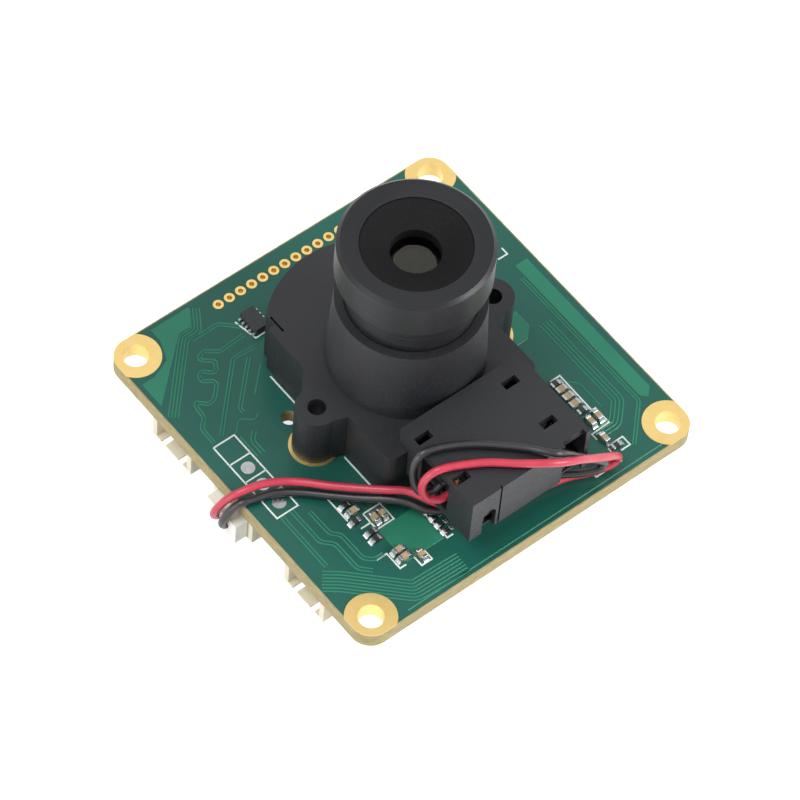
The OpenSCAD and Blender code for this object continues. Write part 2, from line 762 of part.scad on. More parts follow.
module memory_chip() {
    color("#242528") translate([9.6, -12.5, -board_t - 1.75]) cube([3.9, 4.9, 1.65]);
}

module memory_chip_pins() {
    color("#c9ccce") for (i = [0 : 3], x = [8.6, 13.5]) {
        translate([x, -12.15 + i * 1.27, -board_t - 0.8]) cube([1, 0.4, 0.8]);
    }
}

module crystal() {
    color("#b8bcc0") translate([-8.5, -6, -board_t - 0.8]) cube([3.2, 2.5, 0.8]);
}

module inductor() {
    color("#3c3c40") translate([12, 3, -board_t - 2.2]) difference() {
        cube([4, 4, 2.2]);
        for (x = [0, 4], y = [0, 4]) {
            translate([x, y, -cut]) rotate([0, 0, 45]) cube([0.8, 0.8, 8], center = true);
        }
    }
}

// One chip capacitor or resistor standing on the board's upper face
module chip(x, y, turned, l, w, h) {
    translate([x, y, h / 2]) rotate([0, 0, turned ? 90 : 0]) cube([l, w, h], center = true);
}

module ceramic_capacitors() {
    color("#c9b9a0") {
        // row at the right of the drive box
        for (y = [-8.65, -9.6, -10.55]) {
            chip(11.4, y, false, 1, 0.6, 0.5);
        }
        for (p = [[11.4, -12.85], [12.3, -12.75], [11.25, -14.95]]) {
            chip(p[0], p[1], true, 1, 0.5, 0.5);
        }
        // group at the left of the drive box
        chip(-11.6, -7.65, false, 1, 0.6, 0.5);
        for (p = [[-10.5, -9.3], [-9.7, -9.35], [-9.55, -14.75]]) {
            chip(p[0], p[1], true, 1, 0.5, 0.5);
        }
        for (y = [-13.2, -14.05]) {
            chip(-10.9, y, false, 1, 0.55, 0.5);
        }
    }
}

module chip_resistors() {
    color("#3a3a3c") {
        for (y = [-11.55, -12.4, -13.25, -14.1]) {
            chip(-6.1, y, false, 0.8, 0.45, 0.3);
        }
        for (p = [[-11.75, -6.75], [-12.1, -8.6], [-11.65, -10.3], [-11.75, -11.1]]) {
            chip(p[0], p[1], false, 0.9, 0.5, 0.35);
        }
        for (p = [[11.4, -7.9], [11.5, -11.5], [11.6, -16.2]]) {
            chip(p[0], p[1], false, 0.9, 0.5, 0.35);
        }
    }
}

circuit_board();
corner_pads();
header_pads();
ear_pads();
test_pads();
lens_holder();
holder_base();
holder_screws();
image_sensor();
sensor_glass();
lens_barrel();
front_retainer();
front_element();
front_spacer();
aperture_stop();
middle_element();
rear_spacer();
rear_element();
rear_retainer();
filter_slider();
infrared_filter();
clear_filter();
drive_cover();
drive_frame();
yoke();
coil_bobbin();
coil_winding();
coil_terminals();
rotor_axle();
rotor_magnet();
drive_arm();
upper_socket();
middle_socket();
lower_socket();
socket_contacts();
lead_plug();
plug_terminals();
red_lead();
black_lead();
driver_chip();
driver_chip_pins();
image_chip();
memory_chip();
memory_chip_pins();
crystal();
inductor();
ceramic_capacitors();
chip_resistors();
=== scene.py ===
"""Dresses the camera module: a finish for every part, and the fine work on the board.

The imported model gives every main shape. This script adds the leads as smooth cords, the masked
copper, the printed lines, the ends and solder of the small chips, and a finish for each part.
"""

import math

import bmesh
import bpy
import numpy as np
from bpy.props import FloatProperty, FloatVectorProperty, PointerProperty
from mathutils import Matrix, Vector


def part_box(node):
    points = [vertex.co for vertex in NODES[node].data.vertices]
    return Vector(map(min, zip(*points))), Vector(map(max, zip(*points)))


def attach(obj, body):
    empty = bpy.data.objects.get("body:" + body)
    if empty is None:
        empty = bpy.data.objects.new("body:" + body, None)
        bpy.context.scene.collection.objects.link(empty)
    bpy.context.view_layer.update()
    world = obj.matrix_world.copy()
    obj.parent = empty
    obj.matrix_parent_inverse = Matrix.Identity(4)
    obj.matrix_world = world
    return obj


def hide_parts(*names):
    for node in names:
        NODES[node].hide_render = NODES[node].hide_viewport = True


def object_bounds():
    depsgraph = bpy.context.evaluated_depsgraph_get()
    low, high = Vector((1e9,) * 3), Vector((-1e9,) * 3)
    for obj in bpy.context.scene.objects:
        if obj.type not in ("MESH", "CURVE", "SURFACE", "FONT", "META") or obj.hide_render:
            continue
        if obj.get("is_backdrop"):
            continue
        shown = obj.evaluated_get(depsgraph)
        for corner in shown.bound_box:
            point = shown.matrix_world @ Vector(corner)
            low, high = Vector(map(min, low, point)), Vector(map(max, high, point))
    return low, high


bl_info = {
    "name": "Camera Module Looks",
    "version": (1, 0, 0),
    "blender": (4, 5, 0),
    "location": "View3D > Sidebar > Camera Module",
    "description": "Dresses a board camera with finishes, cords, tracks and solder",
    "category": "Object",
}

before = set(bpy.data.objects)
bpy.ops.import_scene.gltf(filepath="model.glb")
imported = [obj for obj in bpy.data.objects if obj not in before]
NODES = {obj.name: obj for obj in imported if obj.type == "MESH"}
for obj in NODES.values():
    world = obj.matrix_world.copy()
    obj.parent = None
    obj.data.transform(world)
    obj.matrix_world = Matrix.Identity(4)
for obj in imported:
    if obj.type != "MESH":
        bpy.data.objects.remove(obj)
MM = 0.001
BOARD = [np.array(corner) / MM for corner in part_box("circuit_board")]
BOARD_W = float(BOARD[1][0] - BOARD[0][0])

# how far a printed or masked layer reaches below the board's face, so that no gap shows, in mm
SUNK = -0.005
PRINT_WIDTH = 0.16
TRACK_BEND = 0.35
# metal ends of the small chips: their share of the length, and how far they stand proud, in mm
END_SHARE = 0.24
END_PROUD = 0.03
SOLDER_REACH = 0.3

# name, place in m, width in m, power in W: all are aimed at the part
LAMPS = [
    ("key_lamp", (0.32, -0.42, 0.28), 0.3, 3.2),
    ("top_lamp", (-0.3, 0.08, 0.6), 0.35, 2.4),
    ("left_lamp", (-0.55, 0.0, 0.12), 0.3, 1.2),
]
FLOOR_REACH = 1.5
FLOOR_GLOW = 0.75
ROOM_LIGHT = 0.35

# the camera's place in mm, its axes, and its focal length in mm on a 36 mm sensor
CAMERA_AT = (-173.973, -182.983, 375.406)
CAMERA_RIGHT = (0.78000325, -0.62314162, 0.05735383)
CAMERA_DOWN = (-0.49468319, -0.67013908, -0.55335536)
CAMERA_AHEAD = (0.3832538, 0.403247, -0.83096834)
FOCAL_LENGTH = 227.11


# ---- colours, nodes and materials ----


def srgb(code):
    """Linear colour from an sRGB hex value: each share is raised to 2.4 above the short straight part."""
    shares = np.array([int(code[i : i + 2], 16) for i in (1, 3, 5)]) / 255
    linear = np.where(shares > 0.04045, ((shares + 0.055) / 1.055) ** 2.4, shares / 12.92)
    return (*(float(v) for v in linear), 1.0)


def add(tree, kind, sockets=None, **settings):
    """Adds one node. sockets maps an input's name or number to a value or to another node's output."""
    node = tree.nodes.new(kind)
    for name, value in settings.items():
        setattr(node, name, value)
    for key, value in (sockets or {}).items():
        if isinstance(value, bpy.types.NodeSocket):
            tree.links.new(value, node.inputs[key])
        else:
            node.inputs[key].default_value = value
    return node


def new_material(name, **constants):
    """An empty material with its shader, whose plain values stand on the shader's own sockets."""
    material = bpy.data.materials.new(name)
    material.use_nodes = True
    tree = material.node_tree
    tree.nodes.clear()
    shader = add(tree, "ShaderNodeBsdfPrincipled")
    for key, value in constants.items():
        shader.inputs[key.replace("_", " ")].default_value = value
    add(tree, "ShaderNodeOutputMaterial", {"Surface": shader.outputs[0]})
    return material, tree, shader


def grained(name, dark, light, grain, blotch, rough, bump, stretch=(1, 1, 1), **constants):
    """Colour that drifts over blotch mm, with roughness and bump from a grain of grain mm.

    dark and light are sRGB hex values, or colours from the panel.
    """
    dark, light = (srgb(tone) if isinstance(tone, str) else tuple(tone) for tone in (dark, light))
    material, tree, shader = new_material(name, **constants)
    place = add(tree, "ShaderNodeTexCoord").outputs["Object"]
    place = add(tree, "ShaderNodeMapping", {"Vector": place, "Scale": stretch}).outputs[0]
    drift = add(tree, "ShaderNodeTexNoise", {"Vector": place, "Scale": 1 / (blotch * MM),
                                               "Detail": 3.0})
    fine = add(tree, "ShaderNodeTexNoise", {"Vector": place, "Scale": 1 / (grain * MM), "Detail": 2.0})
    colour = add(tree, "ShaderNodeMix", {"Factor": drift.outputs[0], 6: dark, 7: light}, data_type="RGBA")
    tree.links.new(colour.outputs[2], shader.inputs["Base Color"])
    polish = add(tree, "ShaderNodeMapRange", {"Value": fine.outputs[0], "From Min": 0.3, "From Max": 0.7,
                                               "To Min": rough[0], "To Max": rough[1]})
    tree.links.new(polish.outputs[0], shader.inputs["Roughness"])
    raised = add(tree, "ShaderNodeBump", {"Height": fine.outputs[0], "Distance": bump * MM, "Strength": 1.0})
    tree.links.new(raised.outputs[0], shader.inputs["Normal"])
    return material


def solder_mask(look):
    """Glossy green solder mask over glass-cloth laminate, which shows tan at the sawn edge."""
    material, tree, shader = new_material("glossy_green_solder_mask", Coat_Weight=0.05, Coat_Roughness=0.1,
                                          Specular_IOR_Level=0.35)
    coords = add(tree, "ShaderNodeTexCoord")
    place = coords.outputs["Object"]
    drift = add(tree, "ShaderNodeTexNoise", {"Vector": place, "Scale": 1 / (9 * MM), "Detail": 2.0})
    speck = add(tree, "ShaderNodeTexNoise", {"Vector": place, "Scale": 1 / (0.35 * MM), "Detail": 3.0})
    # the laminate's glass cloth, woven at 0.5 mm, shows faintly through the mask
    warp = add(tree, "ShaderNodeTexWave", {"Vector": place, "Scale": 1 / (3.2 * MM)}, bands_direction="X")
    weft = add(tree, "ShaderNodeTexWave", {"Vector": place, "Scale": 1 / (3.2 * MM)}, bands_direction="Y")
    cloth = add(tree, "ShaderNodeMath", {0: warp.outputs[1], 1: weft.outputs[1]}, operation="MULTIPLY")
    tone = add(tree, "ShaderNodeMix", {"Factor": drift.outputs[0], 6: tuple(look.mask_dark),
                                       7: tuple(look.mask_light)}, data_type="RGBA")
    tone = add(tree, "ShaderNodeMix", {"Factor": speck.outputs[0], 6: tone.outputs[2], 7: srgb("#1c594d")},
               data_type="RGBA")
    # bare laminate: sawn layers of tan resin and glass
    layers = add(tree, "ShaderNodeMapping", {"Vector": place, "Scale": (0.15, 0.15, 1.0)})
    sawn = add(tree, "ShaderNodeTexNoise", {"Vector": layers.outputs[0], "Scale": 1 / (0.16 * MM),
                                            "Detail": 4.0})
    tan = add(tree, "ShaderNodeMix", {"Factor": sawn.outputs[0], 6: srgb("#6f6a45"),
                                      7: srgb("#cbb98a")}, data_type="RGBA")
    # the mask stops short of the sawn edge, and lies on faces that look up or down only
    axes = add(tree, "ShaderNodeSeparateXYZ", {0: place})
    facing = add(tree, "ShaderNodeSeparateXYZ", {0: coords.outputs["Normal"]})
    inside = add(tree, "ShaderNodeMath", {0: facing.outputs[2]}, operation="ABSOLUTE").outputs[0]
    inside = add(tree, "ShaderNodeMath", {0: inside, 1: 0.5}, operation="GREATER_THAN").outputs[0]
    for axis in (0, 1):
        reach = add(tree, "ShaderNodeMath", {0: axes.outputs[axis]}, operation="ABSOLUTE")
        edge = (BOARD_W / 2 - look.mask_margin) * MM
        within = add(tree, "ShaderNodeMath", {0: reach.outputs[0], 1: edge}, operation="LESS_THAN")
        inside = add(tree, "ShaderNodeMath", {0: inside, 1: within.outputs[0]}, operation="MULTIPLY")
        inside = inside.outputs[0]
    colour = add(tree, "ShaderNodeMix", {"Factor": inside, 6: tan.outputs[2], 7: tone.outputs[2]},
                 data_type="RGBA")
    tree.links.new(colour.outputs[2], shader.inputs["Base Color"])
    rough = add(tree, "ShaderNodeMapRange", {"Value": inside, "To Min": 0.75, "To Max": 0.3})
    tree.links.new(rough.outputs[0], shader.inputs["Roughness"])
    height = add(tree, "ShaderNodeMath", {0: cloth.outputs[0], 1: speck.outputs[0]}, operation="ADD")
    raised = add(tree, "ShaderNodeBump", {"Height": height.outputs[0], "Distance": 0.004 * MM,
                                          "Strength": 1.0})
    tree.links.new(raised.outputs[0], shader.inputs["Normal"])
    return material


def masked_copper(look):
    """Solder mask over copper: the metal under it makes the green lighter and warmer."""
    return grained("solder_mask_over_copper", look.copper_dark, look.copper_light, 0.4, 6, (0.3, 0.45), 0.002,
                   Coat_Weight=0.05, Coat_Roughness=0.1, Specular_IOR_Level=0.35)


def printed_ink():
    """Screen-printed white epoxy ink, matt, with a slightly broken surface."""
    return grained("white_printed_ink", "#cfd8d2", "#e9efe9", 0.12, 1.5, (0.6, 0.8), 0.006)


def immersion_gold(look):
    """Immersion gold over nickel: pale, satin, with the fine grain of the plated copper."""
    return grained("immersion_gold_plating", look.gold_dark, look.gold_light, 0.12, 2.0, (0.28, 0.45),
                   0.004, Metallic=1.0)


def tinned():
    """Reflowed tin solder: bright grey, smooth, with soft dull patches."""
    return grained("reflowed_tin_solder", "#a4a8aa", "#c8cbcc", 0.15, 0.6, (0.2, 0.42), 0.006, Metallic=1.0)


def moulded_black(name, dark, light, rough=(0.45, 0.62), bump=0.008):
    """Glass-filled plastic from an etched mould: black, satin, with a fine even grain."""
    return grained(name, dark, light, 0.16, 2.5, rough, bump)


def anodised_black():
    """Turned aluminium, anodised black: satin, with fine rings from the lathe tool."""
    material, tree, shader = new_material("anodised_black_aluminium", Specular_IOR_Level=0.35)
    place = add(tree, "ShaderNodeTexCoord").outputs["Object"]
    rings = add(tree, "ShaderNodeMapping", {"Vector": place, "Scale": (0.02, 0.02, 1.0)})
    turning = add(tree, "ShaderNodeTexNoise", {"Vector": rings.outputs[0], "Scale": 1 / (0.12 * MM),
                                               "Detail": 3.0})
    drift = add(tree, "ShaderNodeTexNoise", {"Vector": place, "Scale": 1 / (3 * MM), "Detail": 3.0})
    colour = add(tree, "ShaderNodeMix", {"Factor": drift.outputs[0], 6: srgb("#121316"), 7: srgb("#1a1b1f")},
                 data_type="RGBA")
    tree.links.new(colour.outputs[2], shader.inputs["Base Color"])
    rough = add(tree, "ShaderNodeMapRange", {"Value": turning.outputs[0], "From Min": 0.3, "From Max": 0.7,
                                              "To Min": 0.32, "To Max": 0.5})
    tree.links.new(rough.outputs[0], shader.inputs["Roughness"])
    raised = add(tree, "ShaderNodeBump", {"Height": turning.outputs[0], "Distance": 0.006 * MM,
                                          "Strength": 1.0})
    tree.links.new(raised.outputs[0], shader.inputs["Normal"])
    return material


def optical_glass(name, tint, coat):
    """Ground and polished optical glass with a thin coating that tints its reflections."""
    material = grained(name, tint, tint, 2.0, 5.0, (0.0, 0.03), 0.0, Transmission_Weight=1.0, IOR=1.6,
                       Specular_Tint=srgb(coat))
    return material


def pvc(name, dark, light):
    """Extruded PVC insulation: smooth, half glossy, with faint lengthwise unevenness."""
    return grained(name, dark, light, 0.3, 1.2, (0.3, 0.45), 0.006, Coat_Weight=0.15, Coat_Roughness=0.2)


# ---- surfaces worked out as whole arrays ----


def grid_faces(rows, columns, wrap):
    """Quads between neighbouring rows of a grid; wrap also joins the last column to the first."""
    row, column = np.meshgrid(np.arange(rows - 1), np.arange(columns if wrap else columns - 1), indexing="ij")
    after = (column + 1) % columns
    return np.stack([row * columns + column, row * columns + after,
                     (row + 1) * columns + after, (row + 1) * columns + column], -1).reshape(-1, 4)


def build(name, parts, material, body="module"):
    """Joins closed shapes, each (points in mm, faces), into one mesh object with its faces outwards."""
    points, faces, start = [], [], 0
    for part_points, part_faces in parts:
        part_points = np.asarray(part_points, float).reshape(-1, 3)
        points.append(part_points)
        faces += [[int(i) + start for i in face] for face in part_faces]
        start += len(part_points)
    mesh = bpy.data.meshes.new(name)
    mesh.from_pydata((np.concatenate(points) * MM).tolist(), [], faces)
    work = bmesh.new()
    work.from_mesh(mesh)
    bmesh.ops.remove_doubles(work, verts=work.verts, dist=1e-8)
    bmesh.ops.recalc_face_normals(work, faces=work.faces)
    work.to_mesh(mesh)
    work.free()
    mesh.materials.append(material)
    piece = bpy.data.objects.new(name, mesh)
    bpy.context.scene.collection.objects.link(piece)
    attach(piece, body)
    return piece


def shifted(points, distance):
    """A flat line moved sideways: each point goes out along the mitre of the two runs that meet there."""
    points = np.asarray(points, float)
    run = np.diff(points, axis=0)
    run /= np.linalg.norm(run, axis=1, keepdims=True)
    left = np.stack([-run[:, 1], run[:, 0]], 1)
    before, after = np.vstack([left[:1], left]), np.vstack([left, left[-1:]])
    mitre = (before + after) / np.maximum(1 + (before * after).sum(1, keepdims=True), 0.6)
    return points + distance * mitre


def softened(points, reach, steps=4):
    """A line with round corners: each corner becomes a parabola that leaves and joins its runs at reach."""
    points = np.asarray(points, float)
    corner, back, on = points[1:-1], points[:-2] - points[1:-1], points[2:] - points[1:-1]
    size_back, size_on = (np.linalg.norm(v, axis=1, keepdims=True) for v in (back, on))
    cut = np.minimum(reach, 0.49 * np.minimum(size_back, size_on))
    start, end = corner + back / size_back * cut, corner + on / size_on * cut
    t = np.linspace(0, 1, steps)[None, :, None]
    arcs = (1 - t) ** 2 * start[:, None] + 2 * t * (1 - t) * corner[:, None] + t**2 * end[:, None]
    return np.vstack([points[:1], arcs.reshape(-1, 2), points[-1:]])


def strip(points, width, height, low=SUNK):
    """A low closed bar along a flat line: its section is a trapezium, width at the foot and height tall."""
    slope = min(height, 0.3 * width)
    across = [(-width / 2, low), (-width / 2, 0), (-width / 2 + slope, height),
              (width / 2 - slope, height), (width / 2, 0), (width / 2, low)]
    rows = np.stack([np.column_stack([shifted(points, side), np.full(len(points), z)])
                     for side, z in across], 1)
    count, n = rows.shape[:2]
    faces = grid_faces(count, n, True).tolist()
    faces += [list(range(n)), list(range((count - 1) * n, count * n))]
    return rows.reshape(-1, 3), faces


def plate(outline, height, low=SUNK):
    """A low closed plate: the outline at the foot, and again on top, drawn in by the height."""
    outline = np.asarray(outline, float)
    closed = np.vstack([outline[-1:], outline, outline[:1]])
    area = np.sum(closed[:-1, 0] * closed[1:, 1] - closed[1:, 0] * closed[:-1, 1])
    inner = shifted(closed, math.copysign(height, area))[1:-1]
    n = len(outline)
    rows = np.concatenate([np.column_stack([p, np.full(n, z)]) for p, z in
                           ((outline, low), (outline, 0), (inner, height))])
    faces = grid_faces(3, n, True).tolist() + [list(range(n)), list(range(2 * n, 3 * n))]
    return rows, faces


def turned(profile, centre=(0, 0), sides=24):
    """A closed shape turned round an upright axis: each profile point (radius, z) becomes a ring."""
    profile = np.asarray(profile, float)
    angle = np.linspace(0, 2 * math.pi, sides, endpoint=False)
    rings = np.stack([centre[0] + profile[:, :1] * np.cos(angle), centre[1] + profile[:, :1] * np.sin(angle),
                      np.repeat(profile[:, 1:], sides, axis=1)], -1)
    return rings.reshape(-1, 3), grid_faces(len(profile), sides, True).tolist()


def rounded_block(low, high, sharp=0.22, around=16, up=9):
    """A block with soft edges: a superellipsoid, whose sines and cosines are raised to a small power."""
    u = np.linspace(-math.pi, math.pi, around, endpoint=False)[None, :]
    v = np.linspace(-math.pi / 2, math.pi / 2, up)[:, None]
    power = lambda value: np.sign(value) * np.abs(value) ** sharp
    shape = np.stack([power(np.cos(v)) * power(np.cos(u)), power(np.cos(v)) * power(np.sin(u)),
                      power(np.sin(v)) * np.ones_like(u)], -1)
    low, high = np.asarray(low, float), np.asarray(high, float)
    return ((low + high) / 2 + shape * (high - low) / 2).reshape(-1, 3), grid_faces(up, around, True).tolist()


def islands(name):
    """Boxes in mm of the separate solids of a CAD node, by spreading the lowest label along its triangles."""
    mesh = NODES[name].data
    points = np.zeros(len(mesh.vertices) * 3)
    mesh.vertices.foreach_get("co", points)
    points = points.reshape(-1, 3) / MM
    _, same = np.unique(np.round(points, 4), axis=0, return_inverse=True)
    same = same.reshape(-1)
    corners = np.zeros(len(mesh.loops), int)
    mesh.loops.foreach_get("vertex_index", corners)
    triangles = same[corners].reshape(-1, 3)
    label = np.arange(same.max() + 1)
    for _ in range(60):
        lowest = label[triangles].min(1)
        for k in range(3):
            np.minimum.at(label, triangles[:, k], lowest)
    owner = label[same]
    return [(points[owner == k].min(0), points[owner == k].max(0)) for k in np.unique(owner)]


def dress(material, *names):
    """Puts a material on CAD nodes, whose meshes stay as they are."""
    for name in names:
        for slot in NODES[name].material_slots:
            slot.material = material


# ---- the leads ----

RED_ROUTE = [
    [-19.55, 0.875, -3.2], [-20.15, 0.875, -3.2], [-20.5, 0.8, -2.7], [-20.55, 0.6, -1.8],
    [-20.3, 0.3, -0.8], [-19.7, -0.1, 0.3], [-18.7, -0.6, 1.1], [-16.9, -1.2, 1.4],
    [-15.2, -2, 1.3], [-13.7, -3.3, 1.4], [-12.2, -5, 1.6], [-10.5, -6.8, 1.9], [-8.8, -8.7, 2.4],
    [-7.4, -10, 2.5], [-6.2, -12.1, 2.3], [-4.6, -14, 1.9], [-2.4, -15.2, 1.5], [0, -15.5, 1],
    [2.8, -15.8, 0.6], [5.6, -16.3, 0.5], [7.9, -17.2, 0.5], [9.6, -17.7, 0.7], [10.2, -17.9, 1.5],
    [9.7, -18.1, 2.6], [8.2, -18.4, 4.2], [6.3, -18.5, 5.8], [4.4, -18.65, 7.5],
    [2.7, -18.55, 8.55], [1.1, -17.9, 9.05], [-0.9, -16.4, 9], [-2.9, -14.8, 9], [-4.8, -13.7, 9],
    [-6.2, -13.05, 9], [-7.1, -12.7, 8.75], [-7.8, -12.4, 7.9], [-8.15, -12.4, 6.7],
    [-7.9, -12.9, 5.6], [-7, -13.5, 5.2], [-5.95, -13.6, 5.2],
]
BLACK_ROUTE = [
    [-19.55, -0.375, -3.2], [-20.15, -0.375, -3.2], [-20.5, -0.45, -2.7], [-20.55, -0.6, -1.8],
    [-20.2, -0.8, -0.8], [-19.7, -1, 0], [-19.1, -1.3, 0.5], [-18.1, -1.6, 0.5], [-16.6, -2, 0.5],
    [-15.3, -2.7, 0.5], [-13.9, -3.9, 0.6], [-12.4, -5.5, 0.8], [-10.7, -7.3, 1.1],
    [-8.9, -9.2, 1.6], [-7.7, -10.6, 1.6], [-6.8, -12, 1.4], [-4.9, -13.1, 1.2], [-2.6, -13.9, 1.3],
    [0, -14.4, 1.4], [2.4, -15, 1.4], [4.8, -16, 1.4], [6.6, -17.1, 1.4], [8.1, -17.8, 1.6],
    [8.5, -17.9, 2.4], [7.6, -17.8, 3.5], [6.4, -17.75, 4.8], [5.1, -17.75, 6.3], [3.8, -17.8, 7.9],
    [2.9, -17.75, 8.75], [2.1, -17.3, 9.05], [0.7, -15.6, 9], [-1.1, -13.9, 9], [-2.8, -12.5, 9],
    [-4.5, -11.5, 9], [-6, -10.9, 9.05], [-7, -10.65, 8.8], [-7.6, -10.6, 7.8], [-7.9, -10.9, 6.4],
    [-7.8, -11.7, 5.1], [-6.9, -12.4, 4.9], [-5.95, -12.5, 5.2],
]


def smooth_route(points, steps=6):
    """A curve through every point: each run is a cubic whose end slopes are half the step past both ends."""
    points = np.asarray(points, float)
    padded = np.vstack([2 * points[0] - points[1], points, 2 * points[-1] - points[-2]])
    a, b, c, d = padded[:-3], padded[1:-2], padded[2:-1], padded[3:]
    t = np.linspace(0, 1, steps, endpoint=False)[None, :, None]
    a, b, c, d = (p[:, None] for p in (a, b, c, d))
    line = 0.5 * (2 * b + (c - a) * t + (2 * a - 5 * b + 4 * c - d) * t**2 + (3 * b - a - 3 * c + d) * t**3)
    return np.vstack([line.reshape(-1, 3), points[-1:]])


def make_lead(name, route, diameter, material, node):
    """One lead as a curve with a round section, from the coil's terminal to the crimp in the plug."""
    line = smooth_route(route[::-1])
    curve = bpy.data.curves.new(name, "CURVE")
    curve.dimensions = "3D"
    spline = curve.splines.new("POLY")
    spline.points.add(len(line) - 1)
    spline.points.foreach_set("co", np.column_stack([line * MM, np.ones(len(line))]).ravel())
    spline.use_smooth = True
    curve.bevel_depth = diameter / 2 * MM
    curve.bevel_resolution = 5
    curve.use_fill_caps = True
    curve.materials.append(material)
    piece = bpy.data.objects.new(name, curve)
    bpy.context.scene.collection.objects.link(piece)
    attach(piece, "module")
    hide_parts(node)
    return piece


# ---- operators ----


def millimetres(name, description, value, low, high):
    """A size in the panel, in mm."""
    return FloatProperty(name=name, description=description, default=value, min=low, max=high, precision=3)


def colour(name, description, code):
    """A colour in the panel, whose default is an sRGB hex value."""
    return FloatVectorProperty(name=name, description=description, default=srgb(code), size=4, min=0.0,
                               max=1.0, subtype="COLOR")


class ModuleLook(bpy.types.PropertyGroup):
    """Sizes and colours that a user would change."""

    mask_margin: millimetres("Mask Margin", "Bare laminate beside the sawn edge", 0.12, 0.0, 1.0)
    lead_diameter: millimetres("Lead Diameter", "Diameter of a lead's insulation", 0.75, 0.5, 0.8)
    copper_height: millimetres("Copper Height", "Height of a masked track", 0.03, 0.01, 0.06)
    ink_height: millimetres("Ink Height", "Thickness of the printed lines", 0.02, 0.01, 0.05)
    mask_dark: colour("Mask Dark", "Solder mask where it is darkest", "#184f45")
    mask_light: colour("Mask Light", "Solder mask where it is lightest", "#216257")
    copper_dark: colour("Masked Copper Dark", "Solder mask over copper where it is darkest", "#24705a")
    copper_light: colour("Masked Copper Light", "Solder mask over copper where it is lightest", "#2f8468")
    gold_dark: colour("Gold Dark", "Gold plating where it is darkest", "#e8c678")
    gold_light: colour("Gold Light", "Gold plating where it is lightest", "#f4d892")
    holder_dark: colour("Holder Dark", "Moulded holder and cover where they are darkest", "#151619")
    holder_light: colour("Holder Light", "Moulded holder and cover where they are lightest", "#1c1d22")
    socket_dark: colour("Socket Dark", "Cream sockets where they are darkest", "#ded7c0")
    socket_light: colour("Socket Light", "Cream sockets where they are lightest", "#ece5d0")
    red_dark: colour("Red Lead Dark", "Red insulation where it is darkest", "#b32840")
    red_light: colour("Red Lead Light", "Red insulation where it is lightest", "#cf3f55")
    black_dark: colour("Black Lead Dark", "Black insulation where it is darkest", "#1a1a1c")
    black_light: colour("Black Lead Light", "Black insulation where it is lightest", "#26262a")


def white_rays(tree):
    """1 where the camera, a reflection or clear glass looks, so that what stands behind the part is white."""
    path = add(tree, "ShaderNodeLightPath").outputs
    seen = path["Is Camera Ray"]
    for kind in ("Is Glossy Ray", "Is Transmission Ray"):
        seen = add(tree, "ShaderNodeMath", {0: seen, 1: path[kind]}, operation="MAXIMUM").outputs[0]
    return seen


class CAMERA_OT_stage(bpy.types.Operator):
    """Sets up the floor, the soft lamps and the camera"""

    bl_idname = "camera_module.stage"
    bl_label = "Stage"

    def execute(self, context):
        scene = context.scene
        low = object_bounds()[0][2]
        floor = bpy.data.meshes.new("floor")
        corners = [(x * FLOOR_REACH, y * FLOOR_REACH, low) for x, y in ((-1, -1), (1, -1), (1, 1), (-1, 1))]
        floor.from_pydata(corners, [], [(0, 1, 2, 3)])
        # plain white paper: it glows only for the rays that look at it, so it keeps the part's shadow
        material, tree, shader = new_material("white_paper_floor", Base_Color=srgb("#e8e8e8"),
                                              Roughness=0.9, Specular_IOR_Level=0.1)
        glow = add(tree, "ShaderNodeMath", {0: white_rays(tree), 1: FLOOR_GLOW}, operation="MULTIPLY")
        tree.links.new(glow.outputs[0], shader.inputs["Emission Strength"])
        shader.inputs["Emission Color"].default_value = (1, 1, 1, 1)
        floor.materials.append(material)
        ground = bpy.data.objects.new("floor", floor)
        scene.collection.objects.link(ground)
        ground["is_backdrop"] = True

        world = bpy.data.worlds.new("soft_white_room")
        scene.world = world
        world.use_nodes = True
        tree = world.node_tree
        tree.nodes.clear()
        level = add(tree, "ShaderNodeMapRange", {"Value": white_rays(tree), "To Min": ROOM_LIGHT,
                                                 "To Max": 1.0})
        room = add(tree, "ShaderNodeBackground", {"Color": (1, 1, 1, 1), "Strength": level.outputs[0]})
        add(tree, "ShaderNodeOutputWorld", {"Surface": room.outputs[0]})

        for name, place, size, power in LAMPS:
            lamp = bpy.data.lights.new(name, "AREA")
            lamp.size = size
            lamp.energy = power
            item = bpy.data.objects.new(name, lamp)
            item.location = place
            item.rotation_euler = (-Vector(place)).to_track_quat("-Z", "Y").to_euler()
            scene.collection.objects.link(item)

        lens = bpy.data.cameras.new("camera")
        lens.sensor_width = 36.0
        lens.lens = FOCAL_LENGTH
        lens.clip_start = 0.01
        lens.clip_end = 20.0
        eye = bpy.data.objects.new("camera", lens)
        axes = Matrix((Vector(CAMERA_RIGHT), -Vector(CAMERA_DOWN), -Vector(CAMERA_AHEAD)))
        turn = axes.transposed().to_4x4()
        eye.matrix_world = Matrix.Translation(Vector(CAMERA_AT) * MM) @ turn
        scene.collection.objects.link(eye)
        scene.camera = eye
        scene.view_settings.view_transform = "Standard"
        return {"FINISHED"}


class CAMERA_OT_leads(bpy.types.Operator):
    """Lays the red and the black lead from the drive coil to the plug"""

    bl_idname = "camera_module.leads"
    bl_label = "Leads"

    def execute(self, context):
        look = context.scene.module_look
        red = pvc("red_pvc_insulation", look.red_dark, look.red_light)
        make_lead("red_lead_cord", RED_ROUTE, look.lead_diameter, red, "red_lead")
        black = pvc("black_pvc_insulation", look.black_dark, look.black_light)
        make_lead("black_lead_cord", BLACK_ROUTE, look.lead_diameter, black, "black_lead")
        return {"FINISHED"}


